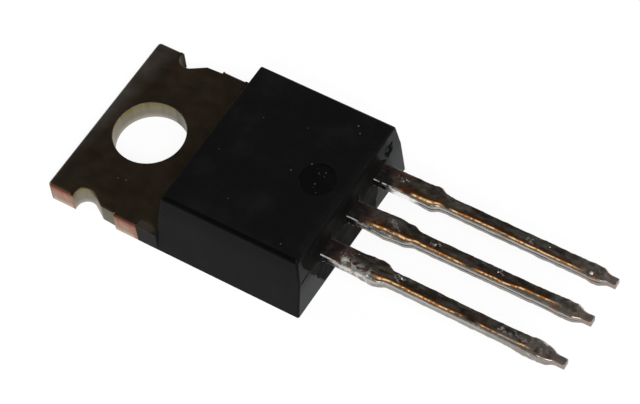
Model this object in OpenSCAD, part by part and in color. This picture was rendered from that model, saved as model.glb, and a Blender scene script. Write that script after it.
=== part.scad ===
/* [Heat-sink tab] */
// Width across the tab's sheared sides
tab_width = 10.36; // [9.8:0.02:10.7]
// Thickness of the tab and of the pad that carries the die
tab_thickness = 1.28; // [1.1:0.02:1.5]
// Distance from the centre of the mounting hole to the tab's outer end
tab_end = 2.84; // [2.5:0.02:3.2]
// Diameter of the mounting hole
hole_diameter = 3.84; // [3.4:0.02:4]
// Rounding that the punch leaves along the outer edges on the marked side
punch_round = 0.18; // [0.05:0.01:0.3]
// Radius of the tab's two outer corners
tab_corner = 0.2; // [0.05:0.01:0.4]
// Distance from the hole's centre to where the full width stops, towards the leads
shoulder_place = 2.63; // [2.3:0.01:3.2]

/* [Tie-bar notches] */
// Distance of each notch's centre from the hole's centre, towards the outer end
notch_place = 0.72; // [0.5:0.01:1]
// Radius of the round bite
notch_radius = 0.58; // [0.45:0.01:0.7]
// How far the round bite reaches in from the tab's side
notch_depth = 0.76; // [0.6:0.01:0.95]
// How deep the sloping flank still is where its slope eases
flank_depth = 0.19; // [0.15:0.01:0.4]
// Distance from the hole's centre to where the flank's slope eases, towards the leads
flank_place = 0.33; // [0.2:0.01:0.8]
// Where the flank leaves the round bite, in degrees towards the leads
flank_angle = 30; // [15:1:45]
// How deep the flank is where it steps out to the sheared side
flank_step = 0.14; // [0.04:0.01:0.15]
// Distance from the hole's centre to that step, towards the leads
flank_end = 1.22; // [1:0.01:1.8]

/* [Die pad inside the housing] */
// Width of the pad
pad_width = 9.16; // [8.6:0.02:9.5]
// Distance from the pad's lead-side edge to the housing's lead-side end
pad_setback = 2.6; // [2.4:0.02:3]
// How far the coined step sets back the pad's underside, where the resin grips it
coin_step = 0.45; // [0.2:0.01:0.7]
// Height of the coined step
coin_height = 0.55; // [0.3:0.01:0.7]
// Radius of the pad's corners
pad_corner = 0.4; // [0.1:0.02:0.8]
// Distance from the hole's centre to the moisture groove across the pad
groove_place = 4.45; // [4.35:0.01:4.5]
// Depth of the moisture groove
groove_depth = 0.14; // [0.05:0.01:0.2]

/* [Leads] */
// Distance between neighbouring leads
lead_pitch = 2.54; // [2.4:0.01:2.7]
// Thickness of the lead strip
lead_thickness = 0.5; // [0.4:0.01:0.6]
// Height of the leads' lower face above the tab's back
lead_offset = 2.72; // [2.5:0.01:2.9]
// How far the leads reach out of the housing
lead_length = 13.45; // [12.5:0.05:14.1]
// Width of each lead beside the housing
wide_width = 1.18; // [1:0.01:1.4]
// Length of that wide part outside the housing
wide_length = 3.25; // [2.8:0.05:3.9]
// Length of the eased shoulder below the wide part
shoulder_length = 0.6; // [0.3:0.05:1]
// Width of each slim leg
slim_width = 0.78; // [0.65:0.01:0.92]
// Width of the cut stub at each lead's tip
stub_width = 0.46; // [0.3:0.01:0.6]
// Length of that stub, with its taper
stub_length = 1.1; // [0.6:0.05:1.6]
// Length of the taper between the slim leg and the stub
stub_taper = 0.35; // [0.2:0.05:0.5]

/* [Lead ends inside the housing] */
// Width of the drain neck that joins the middle lead to the pad
neck_width = 1.7; // [1.2:0.05:2]
// Slope of the drain neck between its two bends, in degrees
neck_slope = 65; // [58:1:75]
// Inside radius of the drain neck's bends
bend_radius = 0.2; // [0.1:0.01:0.3]
// Length of flat neck between the pad's edge and the lower bend
neck_flat = 0.1; // [0.05:0.01:0.15]
// Gap between the drain neck and each bonding post
post_gap = 0.6; // [0.4:0.05:0.8]
// Width of each bonding post
post_width = 2.65; // [2.3:0.05:2.75]
// How far each post reaches in from the housing's lead-side end
post_reach = 2.3; // [2.1:0.05:2.6]
// Depth of each post along its lead
post_depth = 1.2; // [1:0.05:1.4]
// How far the drain lead's wide part runs into the housing
drain_reach = 0.8; // [0.6:0.05:0.9]
// Radius of the nicks that lock each outer lead in the resin
lock_nick = 0.16; // [0.08:0.01:0.25]

/* [Moulded housing] */
// How far the housing's back stands out beyond the tab's sheared side, on each side
side_overhang = 0; // [-0.1:0.02:0.2]
// Height of the housing above the tab's back
housing_height = 4.35; // [4.2:0.01:4.7]
// Distance from the hole's centre to the housing, measured along the tab's face
housing_start = 3.75; // [3.5:0.01:3.9]
// Distance from the hole's centre to the parting line at the lead-side end
housing_end = 12.3; // [12.1:0.01:12.7]
// Draft of the long sides, in degrees
side_draft = 7; // [4:0.5:8]
// Draft of the tab-side face, in degrees
tab_side_draft = 8.5; // [5:0.5:10]
// Draft of the lead-side end above the parting line, in degrees
upper_end_draft = 5; // [3:0.5:7]
// Draft of the lead-side end below the parting line, in degrees
lower_end_draft = 2.3; // [1:0.1:4]
// Rounding of the housing's top edges
top_round = 0.25; // [0.1:0.01:0.4]
// Diameter of the ejector mark in the top face
ejector_diameter = 1.9; // [1.5:0.05:2.2]
// Depth of the ejector mark
ejector_depth = 0.08; // [0.03:0.01:0.15]
// Distance from the lead-side end to the ejector mark's centre
ejector_place = 1.82; // [1.6:0.02:2.2]

/* [Die and bond wires] */
// Bare pad on each side of the silicon die
die_side_margin = 1.48; // [1.3:0.02:1.6]
// Bare pad between the moisture groove and the die
die_groove_margin = 0.4; // [0.3:0.01:0.8]
// Bare pad between the die and the pad's lead-side edge
die_end_margin = 0.65; // [0.4:0.01:0.9]
// Thickness of the silicon die
die_thickness = 0.3; // [0.2:0.01:0.4]
// Thickness of the solder layer under the die
solder_thickness = 0.06; // [0.03:0.01:0.1]
// How far the solder layer shows round the die
solder_margin = 0.15; // [0.05:0.01:0.2]
// Diameter of each source bond wire
source_wire = 0.38; // [0.3:0.01:0.4]
// How far the source wires' loop rises above the straight line between its feet
source_rise = 1.1; // [0.9:0.01:1.2]
// Distance from the die's lead-side edge to where the source wires start
source_inset = 2.1; // [1.8:0.05:2.3]
// Distance between the two source bond wires
source_spacing = 0.8; // [0.7:0.05:0.85]
// Diameter of the gate bond wire
gate_wire = 0.2; // [0.15:0.01:0.25]
// How far the gate wire's loop rises above the straight line between its feet
gate_rise = 0.77; // [0.6:0.01:0.9]
// How far each wire lands behind its post's inner edge
landing = 0.6; // [0.5:0.05:0.7]
// Distance from a post's inner side to the first wire on it
wire_inset = 0.4; // [0.35:0.01:0.5]
// Distance from the die's lead-side edge to where the gate wire starts
gate_inset = 0.75; // [0.5:0.05:1]

/* [Hidden] */
$fn = 48;

housing_width = tab_width + 2 * side_overhang;
pad_end = housing_end - pad_setback;
lead_top = lead_offset + lead_thickness;
lead_tip = -(housing_end + lead_length);
wide_tip = -(housing_end + wide_length);
slim_tip = lead_tip + stub_length;
post_inner_x = neck_width / 2 + post_gap;
post_inner_y = -(housing_end - post_reach);
post_outer_y = post_inner_y - post_depth;
die_base = tab_thickness + solder_thickness;
die_top = die_base + die_thickness;
landing_y = post_inner_y - landing;
first_wire_x = post_inner_x + wire_inset;
die_width = pad_width - 2 * die_side_margin;
die_low_y = -pad_end + die_end_margin;
die_high_y = -groove_place - die_groove_margin;
// Proportions of a bond's flattened foot across, along and up, in wire diameters
foot_share = [1.5, 2, 0.45];
// Overlap that fuses neighbouring stretches of one piece
seam = 0.2;
// How far a cutting shape runs past what it cuts
past = 1;
// Straight steps in each eased shoulder and in each bend of the neck
taper_steps = 10;
bend_steps = 8;

// Points of an arc about a centre, from one angle to another
function arc(centre, radius, from, to, steps) =
    [for (i = [0 : steps])
        let (a = from + (to - from) * i / steps)
        centre + radius * [cos(a), sin(a)]];

// Points that ease from one half-width to another over a stretch that ends at y_end
function eased(half_from, half_to, y_from, y_end) =
    [for (i = [0 : taper_steps])
        let (s = i / taper_steps)
        [half_to + (half_from - half_to) * (1 + cos(180 * s)) / 2, y_from + (y_end - y_from) * s]];

// A profile drawn across the part, carried along X between two places
module along_x(from, to) {
    translate([from, 0, 0]) rotate([90, 0, 90]) linear_extrude(to - from) children();
}

// A profile drawn across the part, carried along Y between two places
module along_y(from, to) {
    translate([0, to, 0]) rotate([90, 0, 0]) linear_extrude(to - from) children();
}

// The bite and its sloping flank, at the tab's +X side
module notch_outline() {
    side = tab_width / 2;
    centre_x = side - notch_depth + notch_radius;
    translate([centre_x, notch_place]) circle(notch_radius);
    polygon([[side + past, notch_place], [centre_x, notch_place],
             [centre_x - notch_radius * cos(flank_angle), notch_place - notch_radius * sin(flank_angle)],
             [side - flank_depth, -flank_place], [side - flank_step, -flank_end], [side + past, -flank_end]]);
}

// The pad's outline, set in by a margin
module pad_outline(margin) {
    half = pad_width / 2 - margin;
    low = -pad_end + margin;
    length = -low - shoulder_place + seam;
    translate([-half, low + pad_corner]) square([2 * half, length - pad_corner]);
    translate([-half + pad_corner, low]) square([2 * (half - pad_corner), length]);
    for (side = [-1, 1]) translate([side * (half - pad_corner), low + pad_corner]) circle(pad_corner);
}

// The tab outside the housing, up to the shoulder where it narrows to the pad
module tab_outline() {
    corner_x = tab_width / 2 - tab_corner;
    corner_y = tab_end - tab_corner;
    difference() {
        polygon(concat(
            [[-tab_width / 2, -shoulder_place], [tab_width / 2, -shoulder_place]],
            arc([corner_x, corner_y], tab_corner, 0, 90, bend_steps),
            arc([-corner_x, corner_y], tab_corner, 90, 180, bend_steps)));
        notch_outline();
        mirror([1, 0]) notch_outline();
        circle(d = hole_diameter);
    }
}

// A section of the sheet with both corners of its upper side rounded by the punch
module punched_section(from, to, thickness, radius) {
    translate([from, 0]) square([to - from, thickness - radius]);
    translate([from + radius, 0]) square([to - from - 2 * radius, thickness]);
    for (x = [from + radius, to - radius]) translate([x, thickness - radius]) circle(radius);
}

// The drain neck's sheet in section: flat, down through two bends, and flat again into the pad
module neck_section() {
    radius = bend_radius + lead_thickness / 2;
    high = lead_offset + lead_thickness / 2;
    low = tab_thickness - lead_thickness / 2;
    slope_length = (high - low - 2 * radius * (1 - cos(neck_slope))) / sin(neck_slope);
    low_y = -pad_end - neck_flat;
    high_y = low_y - 2 * radius * sin(neck_slope) - slope_length * cos(neck_slope);
    upper = [high_y, high - radius];
    lower = [low_y, low + radius];
    outer = radius + lead_thickness / 2;
    inner = radius - lead_thickness / 2;
    straight_y = -housing_end + drain_reach - 2 * seam;
    polygon(concat(
        [[straight_y, lead_top]],
        arc(upper, outer, 90, 90 - neck_slope, bend_steps),
        arc(lower, inner, 270 - neck_slope, 270, bend_steps),
        [[-pad_end + coin_step, tab_thickness], [-pad_end + coin_step, tab_thickness - lead_thickness]],
        arc(lower, outer, 270, 270 - neck_slope, bend_steps),
        arc(upper, inner, 90 - neck_slope, 90, bend_steps),
        [[straight_y, lead_offset]]));
}

// Points down one side of a lead, from its shoulder to the tip, about its own centre line
lead_side = concat(
    eased(wide_width / 2, slim_width / 2, wide_tip, wide_tip - shoulder_length),
    eased(slim_width / 2, stub_width / 2, slim_tip, slim_tip - stub_taper),
    [[stub_width / 2, lead_tip]]);

// A lead's outline about its own centre line, with the head that it has inside the housing
module lead_outline(head) {
    last = len(lead_side) - 1;
    polygon(concat(head, lead_side, [for (i = [last : -1 : 0]) [-lead_side[i][0], lead_side[i][1]]]));
}

// An outer lead on the +X side, with the post that its bond wires land on
module outer_lead() {
    half = wide_width / 2;
    inner = post_inner_x - lead_pitch;
    outer = inner + post_width;
    post_head = [[-half, post_outer_y], [inner, post_outer_y], [inner, post_inner_y],
                 [outer, post_inner_y], [outer, post_outer_y], [half, post_outer_y]];
    translate([lead_pitch, 0, lead_offset]) linear_extrude(lead_thickness) difference() {
        lead_outline(post_head);
        for (side = [-1, 1]) translate([side * half, (post_outer_y - housing_end) / 2]) circle(lock_nick);
    }
}

// Tab, die pad, drain neck and middle lead, stamped from one piece of copper strip
module heat_sink_tab() {
    color([0.27, 0.23, 0.18]) {
        difference() {
            union() {
                intersection() {
                    linear_extrude(tab_thickness) tab_outline();
                    along_y(-shoulder_place - past, tab_end + past)
                        punched_section(-tab_width / 2, tab_width / 2, tab_thickness, punch_round);
                    along_x(-tab_width, tab_width)
                        punched_section(-shoulder_place - past, tab_end, tab_thickness, punch_round);
                }
                linear_extrude(coin_height) pad_outline(coin_step);
                translate([0, 0, coin_height]) linear_extrude(tab_thickness - coin_height) pad_outline(0);
            }
            along_x(-pad_width, pad_width)
                translate([-groove_place, tab_thickness]) rotate(45)
                    square(groove_depth * sqrt(2), center = true);
        }
        along_x(-neck_width / 2, neck_width / 2) neck_section();
        translate([0, 0, lead_offset]) linear_extrude(lead_thickness)
            lead_outline([for (side = [-1, 1]) [side * wide_width / 2, -housing_end + drain_reach]]);
    }
}

module gate_lead() {
    color([0.45, 0.42, 0.38]) mirror([1, 0, 0]) outer_lead();
}

module source_lead() {
    color([0.45, 0.42, 0.38]) outer_lead();
}

// Section of the housing across its width, with drafted sides and rounded top edges
module housing_cross_section() {
    centre_z = housing_height - top_round;
    centre_x = housing_width / 2 - centre_z * tan(side_draft) - top_round / cos(side_draft);
    touch = [centre_x + top_round * cos(side_draft), centre_z + top_round * sin(side_draft)];
    polygon([[-housing_width / 2, 0], [housing_width / 2, 0], touch, [centre_x, housing_height],
             [-centre_x, housing_height], [-touch[0], touch[1]]]);
    for (side = [-1, 1]) translate([side * centre_x, centre_z]) circle(top_round);
}

// Section of the housing along its length: parting line at the leads, draft away from it both ways
module housing_long_section() {
    centre_z = housing_height - top_round;
    lead_y = -housing_end + (centre_z - lead_offset) * tan(upper_end_draft)
        + top_round / cos(upper_end_draft);
    tab_y = -housing_start - (centre_z - tab_thickness) * tan(tab_side_draft)
        - top_round / cos(tab_side_draft);
    lead_touch = [lead_y - top_round * cos(upper_end_draft), centre_z + top_round * sin(upper_end_draft)];
    tab_touch = [tab_y + top_round * cos(tab_side_draft), centre_z + top_round * sin(tab_side_draft)];
    polygon([[-housing_end + lead_offset * tan(lower_end_draft), 0], [-housing_end, lead_offset], lead_touch,
             [lead_y, housing_height], [tab_y, housing_height], tab_touch,
             [-housing_start, tab_thickness], [-housing_start, 0]]);
    for (y = [lead_y, tab_y]) translate([y, centre_z]) circle(top_round);
}

// Resin housing: the drafted block and the ears beside the tab, moulded round everything inside
module moulded_housing() {
    color([0.1, 0.1, 0.105]) difference() {
        union() {
            intersection() {
                along_x(-housing_width, housing_width) housing_long_section();
                along_y(-housing_end - past, 0) housing_cross_section();
            }
            translate([-tab_width / 2, -housing_start - seam, 0])
                cube([tab_width, housing_start + seam - shoulder_place, tab_thickness]);
        }
        translate([0, -housing_end + ejector_place, housing_height - ejector_depth])
            cylinder(d = ejector_diameter, h = past);
        heat_sink_tab();
        gate_lead();
        source_lead();
        silicon_die();
        die_solder();
        gate_bond_wire();
        source_bond_wire_1();
        source_bond_wire_2();
    }
}

module silicon_die() {
    color([0.35, 0.36, 0.4])
        translate([-die_width / 2, die_low_y, die_base])
            cube([die_width, die_high_y - die_low_y, die_thickness]);
}

module die_solder() {
    width = die_width + 2 * solder_margin;
    length = die_high_y - die_low_y + 2 * solder_margin;
    color([0.62, 0.62, 0.6])
        translate([-width / 2, die_low_y - solder_margin, tab_thickness])
            cube([width, length, solder_thickness]);
}

// A bond wire in the plane x: an arc from the die to a post, cut level with both, on flattened feet
module bond_wire(x, start_y, diameter, rise) {
    start = [start_y, die_top];
    end = [landing_y, lead_top];
    chord = end - start;
    half = norm(chord) / 2;
    loop = (half * half + rise * rise) / (2 * rise);
    up = [chord[1], -chord[0]] / norm(chord);
    centre = (start + end) / 2 - up * (loop - rise);
    from = atan2(start[1] - centre[1], start[0] - centre[0]);
    to = atan2(end[1] - centre[1], end[0] - centre[0]);
    over = asin(diameter / loop);
    foot = foot_share * diameter;
    difference() {
        union() {
            translate([x, centre[0], centre[1]]) rotate([90, 0, 90])
                rotate_extrude(angle = to - from + 2 * over, start = from - over)
                    translate([loop, 0]) circle(d = diameter, $fn = 24);
            for (seat = [start, end])
                translate([x - foot[0] / 2, seat[0] - foot[1] / 2, seat[1]]) cube(foot);
        }
        translate([x - past, start_y - diameter, die_top - past]) cube([2 * past, 3 * past, past]);
        translate([x - past, landing_y - past, lead_top - past]) cube([2 * past, past + landing, past]);
    }
}

module gate_bond_wire() {
    color([0.85, 0.85, 0.83]) bond_wire(-first_wire_x, die_low_y + gate_inset, gate_wire, gate_rise);
}

module source_bond_wire_1() {
    color([0.85, 0.85, 0.83]) bond_wire(first_wire_x, die_low_y + source_inset, source_wire, source_rise);
}

module source_bond_wire_2() {
    color([0.85, 0.85, 0.83])
        bond_wire(first_wire_x + source_spacing, die_low_y + source_inset, source_wire, source_rise);
}

heat_sink_tab();
gate_lead();
source_lead();
moulded_housing();
silicon_die();
die_solder();
gate_bond_wire();
source_bond_wire_1();
source_bond_wire_2();
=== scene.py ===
import math

import bmesh
import bpy
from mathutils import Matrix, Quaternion, Vector, noise


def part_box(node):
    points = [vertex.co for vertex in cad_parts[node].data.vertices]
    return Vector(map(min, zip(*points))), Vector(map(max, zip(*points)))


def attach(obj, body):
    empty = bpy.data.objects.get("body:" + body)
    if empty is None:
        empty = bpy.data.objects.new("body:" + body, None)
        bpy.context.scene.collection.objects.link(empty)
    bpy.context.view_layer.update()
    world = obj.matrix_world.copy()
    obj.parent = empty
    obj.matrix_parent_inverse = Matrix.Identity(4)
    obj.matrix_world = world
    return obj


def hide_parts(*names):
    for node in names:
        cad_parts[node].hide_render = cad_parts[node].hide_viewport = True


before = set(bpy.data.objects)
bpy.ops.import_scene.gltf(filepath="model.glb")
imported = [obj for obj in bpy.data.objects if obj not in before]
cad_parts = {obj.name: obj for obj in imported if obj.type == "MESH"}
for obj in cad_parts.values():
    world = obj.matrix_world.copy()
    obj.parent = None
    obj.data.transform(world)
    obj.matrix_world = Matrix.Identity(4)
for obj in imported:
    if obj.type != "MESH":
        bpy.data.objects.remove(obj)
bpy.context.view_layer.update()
MM = 0.001


# Stage
# A round white cove stands in for the lit table on which the part lies. It is white to the camera
# and in reflections, and plain pale paint to everything else, so it still takes the part's shadow.
floor_drop = 0.02 * MM
cove_radius = 1.2
cove_bend = 0.12
cove_wall = 0.08
cove_paint = (0.82, 0.82, 0.82, 1)
cove_glow = 0.86
cove_light = 1.03
first_ring = 0.25
bend_steps = 16
cove_turns = 96


class Field:
    """A value in a node tree. Arithmetic on it adds the nodes that work it out."""

    def __init__(self, tree, socket):
        self.tree, self.socket = tree, socket

    def __add__(self, other):
        return calc("ADD", self, other)

    def __sub__(self, other):
        return calc("SUBTRACT", self, other)

    def __rsub__(self, other):
        return calc("SUBTRACT", other, self)

    def __mul__(self, other):
        return calc("MULTIPLY", self, other)

    def __rtruediv__(self, other):
        return calc("DIVIDE", other, self)

    def __pow__(self, other):
        return calc("POWER", self, other)

    def __lt__(self, other):
        return calc("LESS_THAN", self, other)

    def __gt__(self, other):
        return calc("GREATER_THAN", self, other)

    def __abs__(self):
        return calc("ABSOLUTE", self)


def add_node(tree, kind, inputs=(), **settings):
    """Add a node, set its properties, and feed its inputs, by number or name, with values or fields."""
    made = tree.nodes.new(kind)
    for key, value in settings.items():
        setattr(made, key, value)
    for key, value in inputs.items() if isinstance(inputs, dict) else enumerate(inputs):
        if isinstance(value, Field):
            tree.links.new(value.socket, made.inputs[key])
        else:
            made.inputs[key].default_value = value
    return made


def put(tree, kind, inputs=(), output=0, **settings):
    """Add a node and give the field that comes out of it, at the output of this number or name."""
    return Field(tree, add_node(tree, kind, inputs, **settings).outputs[output])


def calc(operation, *values):
    """The result of one step of arithmetic on fields and numbers."""
    tree = next(value.tree for value in values if isinstance(value, Field))
    return put(tree, "ShaderNodeMath", values, operation=operation)


def highest(first, *others):
    """The highest of some fields and numbers."""
    for other in others:
        first = calc("MAXIMUM", first, other)
    return first


def empty_material(name):
    """A new material with nothing in it, and its node tree."""
    material = bpy.data.materials.new(name)
    material.use_nodes = True
    material.node_tree.nodes.clear()
    return material, material.node_tree


def mesh_object(name, vertices, faces):
    """A new smooth object, at the origin, with a mesh of these points and faces."""
    mesh = bpy.data.meshes.new(name)
    mesh.from_pydata([tuple(v) for v in vertices], [], faces)
    mesh.update()
    mesh.shade_smooth()
    made = bpy.data.objects.new(name, mesh)
    bpy.context.scene.collection.objects.link(made)
    return made


cove_profile = [(first_ring, 0), (cove_radius - cove_bend, 0)]
for step in range(1, bend_steps + 1):
    angle = math.pi / 2 * step / bend_steps
    cove_profile.append((cove_radius - cove_bend * (1 - math.sin(angle)),
                         cove_bend * (1 - math.cos(angle))))
cove_profile.append((cove_radius, cove_bend + cove_wall))
points = [Vector((0, 0, -floor_drop))]
for turn in range(cove_turns):
    angle = 2 * math.pi * turn / cove_turns
    points += [Vector((r * math.cos(angle), r * math.sin(angle), z - floor_drop)) for r, z in cove_profile]
rings = len(cove_profile)
faces = []
for turn in range(cove_turns):
    this, following = 1 + turn * rings, 1 + (turn + 1) % cove_turns * rings
    faces.append((0, this, following))
    faces += [(this + i, this + i + 1, following + i + 1, following + i) for i in range(rings - 1)]
cove = mesh_object("cove", points, faces)

material, tree = empty_material("cove_white")
rays = add_node(tree, "ShaderNodeLightPath").outputs
seen = highest(*[Field(tree, rays[f"Is {kind} Ray"]) for kind in ("Camera", "Glossy", "Transmission")])
paint = put(tree, "ShaderNodeBsdfDiffuse", {"Color": cove_paint})
glow = put(tree, "ShaderNodeEmission", {"Color": (1, 1, 1, 1), "Strength": cove_light})
mixed = put(tree, "ShaderNodeMixShader", [seen * cove_glow, paint, glow])
add_node(tree, "ShaderNodeOutputMaterial", {"Surface": mixed})
cove.data.materials.append(material)


# Light and camera
# Soft lamps and a grey room light the part at a plain level. The camera looks down on it from the
# gate side at the photograph's angle, slightly rolled, through a long lens.
room_grey = (0.97, 0.985, 1.0, 1)
room_strength = 0.12
lamps = [
    ("front_lamp", (-0.62, -0.62, 0.85), 0.8, 17.0),
    ("right_lamp", (0.95, -0.25, 0.45), 0.6, 4.5),
    ("back_lamp", (-0.2, 0.95, 0.55), 0.6, 6.0),
]
camera_aim = Vector((0.185, -10.289, 2.0)) * MM
camera_azimuth = math.radians(-52.08)
camera_elevation = math.radians(55.44)
camera_roll = math.radians(7.45)
camera_distance = 134.8 * MM
camera_lens = 151.9

world = bpy.data.worlds.new("room")
world.use_nodes = True
world.node_tree.nodes["Background"].inputs["Color"].default_value = room_grey
world.node_tree.nodes["Background"].inputs["Strength"].default_value = room_strength
bpy.context.scene.world = world
for name, place, size, power in lamps:
    lamp = bpy.data.lights.new(name, "AREA")
    lamp.shape = "DISK"
    lamp.size = size
    lamp.energy = power
    holder = bpy.data.objects.new(name, lamp)
    holder.location = place
    holder.rotation_euler = (-Vector(place)).to_track_quat("-Z", "Y").to_euler()
    bpy.context.scene.collection.objects.link(holder)

back = Vector((math.sin(camera_azimuth) * math.cos(camera_elevation),
               -math.cos(camera_azimuth) * math.cos(camera_elevation), math.sin(camera_elevation)))
camera = bpy.data.objects.new("camera", bpy.data.cameras.new("camera"))
camera.data.lens = camera_lens
camera.data.clip_start = 0.01
camera.location = camera_aim + back * camera_distance
camera.rotation_mode = "QUATERNION"
camera.rotation_quaternion = (-back).to_track_quat("-Z", "Y") @ Quaternion((0, 0, 1), -camera_roll)
bpy.context.scene.collection.objects.link(camera)
bpy.context.scene.camera = camera
bpy.context.scene.view_settings.view_transform = "Standard"


# Moulded housing
# Black epoxy, moulded round the lead frame with satin faces and slightly rounded edges. Its sides
# are drafted so that it leaves the mould, and two ears beside the tab fill up to the shoulders.
housing_low, housing_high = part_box("moulded_housing")
housing_half = housing_high.x
housing_top = housing_high.z
housing_end = -housing_low.y
housing_start = 3.75 * MM
ear_end = -housing_high.y
pad_half = 4.58 * MM
tab_thickness = 1.28 * MM
parting_height = 2.72 * MM
back_recess = 0.012 * MM
side_slope = math.tan(math.radians(7))
tab_side_slope = math.tan(math.radians(8.5))
upper_end_slope = math.tan(math.radians(5))
lower_end_slope = math.tan(math.radians(2.3))
top_edge_round = 0.25 * MM
corner_round = 0.1 * MM
foot_round = 0.03 * MM
ear_sink = 0.004 * MM
ejector_radius = 0.95 * MM
ejector_depth = 0.08 * MM
ejector_place = 1.82 * MM
ejector_turns = 72
corner_steps = 4
top_steps = 6
flat_border = 0.04 * MM
tolerance = 0.0001 * MM
resin_black = (0.0042, 0.0042, 0.0043, 1)
resin_worn = (0.0068, 0.0069, 0.007, 1)
resin_pale = (0.0185, 0.0198, 0.0196, 1)
resin_scar = (0.0012, 0.0012, 0.0012, 1)
resin_painted_shade = (0.0016, 0.0016, 0.0017, 1)
smear_brown = (0.014, 0.011, 0.007, 1)
flash_brown = (0.03, 0.022, 0.017, 1)
speck_pale = (0.12, 0.115, 0.105, 1)
top_specks = [
    (3.733, -10.561, 0.035), (3.374, -10.861, 0.03), (-0.161, -9.021, 0.03), (0.648, -9.741, 0.03),
    (-3.1, -7.2, 0.02), (1.9, -6.1, 0.02), (-0.8, -5.2, 0.02), (-4.1, -10.9, 0.025), (2.4, -8.4, 0.02)]
scars = [((3.78, -12.25, 3.25), (3.7, -12.23, 3.45), 0.3),
         ((3.7, -12.23, 3.5), (4.05, -12.22, 3.58), 0.12),
         ((-4.74, -12.3, 2.58), (-4.05, -12.29, 2.68), 0.08),
         ((2.9, -12.24, 3.4), (3.4, -12.27, 2.95), 0.09)]


def joined(shape, lower, upper):
    """Add the wall between two rings of points."""
    for i in range(len(lower)):
        following = (i + 1) % len(lower)
        shape.faces.new((lower[i], lower[following], upper[following], upper[i]))


def finished(shape, name, materials=(), sharp_angle=30):
    """The object made of a mesh under construction, its flats flat and its roundings smooth."""
    mesh = bpy.data.meshes.new(name)
    bmesh.ops.recalc_face_normals(shape, faces=shape.faces)
    shape.to_mesh(mesh)
    shape.free()
    mesh.shade_smooth()
    mesh.set_sharp_from_angle(angle=math.radians(sharp_angle))
    for material in materials:
        mesh.materials.append(material)
    made = bpy.data.objects.new(name, mesh)
    bpy.context.scene.collection.objects.link(made)
    made.modifiers.new("flats", "WEIGHTED_NORMAL").keep_sharp = True
    made.data = bpy.data.meshes.new_from_object(made.evaluated_get(bpy.context.evaluated_depsgraph_get()))
    made.modifiers.clear()
    return made


def end_face_y(height):
    """Where the lead-side end face stands at this height."""
    if height < parting_height:
        return -housing_end + lower_end_slope * (parting_height - height)
    return -housing_end + upper_end_slope * (height - parting_height)


def section(z, inset=0.0):
    """The block's outline with rounded corners at one height, drawn in where the top edge rounds."""
    half = housing_half - side_slope * z - inset
    low_y = end_face_y(z) + inset
    high_y = -housing_start - tab_side_slope * max(z - tab_thickness, 0) - inset
    start_round = corner_round if z > tab_thickness else foot_round
    points = []
    for x, y, across, along, radius, start in [(-half, low_y, 1, 1, corner_round, 180),
                                               (half, low_y, -1, 1, corner_round, 270),
                                               (half, high_y, -1, -1, start_round, 0),
                                               (-half, high_y, 1, -1, start_round, 90)]:
        for step in range(corner_steps + 1):
            angle = math.radians(start + 90 * step / corner_steps)
            points.append((x + radius * (across + math.cos(angle)),
                           y + radius * (along + math.sin(angle)), z))
    return points


block = bmesh.new()
levels = [(back_recess, 0), (tab_thickness, 0), (tab_thickness + 0.02 * MM, 0), (parting_height, 0)]
for step in range(top_steps + 1):
    angle = math.pi / 2 * step / top_steps
    levels.append((housing_top - top_edge_round * (1 - math.sin(angle)),
                   top_edge_round * (1 - math.cos(angle))))
levels.append((housing_top, top_edge_round + flat_border))
rows = [[block.verts.new(p) for p in section(z, inset)] for z, inset in levels]
block.faces.new(reversed(rows[0]))
for lower, upper in zip(rows, rows[1:]):
    joined(block, lower, upper)

# The ejector pin leaves a round sunk mark: the flat top is filled in round its stepped rim.
rim_edges = [block.edges.get((a, b)) for a, b in zip(rows[-1], rows[-1][1:] + rows[-1][:1])]
dimple_rings = []
for radius, depth in [(ejector_radius + 0.03 * MM + flat_border, 0), (ejector_radius + 0.03 * MM, 0),
                      (ejector_radius, 0.012 * MM),
                      (ejector_radius - 0.02 * MM, ejector_depth - 0.015 * MM),
                      (ejector_radius - 0.06 * MM, ejector_depth),
                      (ejector_radius - 0.3 * MM, ejector_depth)]:
    ring = []
    for turn in range(ejector_turns):
        angle = 2 * math.pi * turn / ejector_turns
        ring.append(block.verts.new((radius * math.cos(angle), -housing_end + ejector_place
                                     + radius * math.sin(angle), housing_top - depth)))
    dimple_rings.append(ring)
for outer, inner in zip(dimple_rings, dimple_rings[1:]):
    joined(block, outer, inner)
block.faces.new(dimple_rings[-1])
rim_edges += [block.edges.get((a, b)) for a, b in
              zip(dimple_rings[0], dimple_rings[0][1:] + dimple_rings[0][:1])]
bmesh.ops.triangle_fill(block, use_beauty=True, use_dissolve=False, edges=rim_edges, normal=(0, 0, 1))
housing = finished(block, "housing_block")

ears = []
for side, side_name in ((-1, "left"), (1, "right")):
    ear = bmesh.new()
    bmesh.ops.create_cube(ear, size=1)
    for vertex in ear.verts:
        vertex.co.x = side * (pad_half - foot_round if vertex.co.x < 0 else housing_half)
        vertex.co.y = -housing_start - foot_round if vertex.co.y < 0 else -ear_end + foot_round
        vertex.co.z = back_recess if vertex.co.z < 0 else tab_thickness - ear_sink
    edges = [e for e in ear.edges if all(abs(abs(v.co.x) - housing_half) < tolerance for v in e.verts)
             and all(v.co.z > tab_thickness / 2 for v in e.verts)]
    bmesh.ops.bevel(ear, geom=edges, offset=foot_round, offset_type="OFFSET", segments=3, profile=0.5,
                    affect="EDGES", clamp_overlap=True)
    ears.append(finished(ear, f"housing_ear_{side_name}"))


def eased(value, start, end, low=0.0, high=1.0):
    """A value that eases from low to high while another goes from start to end."""
    return put(value.tree, "ShaderNodeMapRange", [value, start, end, low, high],
               interpolation_type="SMOOTHSTEP")


def band(value, start, full, fading, end):
    """A mask that eases in while a value goes from start to full, and out from fading to end."""
    return eased(value, start, full) * eased(value, end, fading)


def lowest(first, second):
    """The lower of two fields or numbers."""
    return calc("MINIMUM", first, second)


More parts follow.
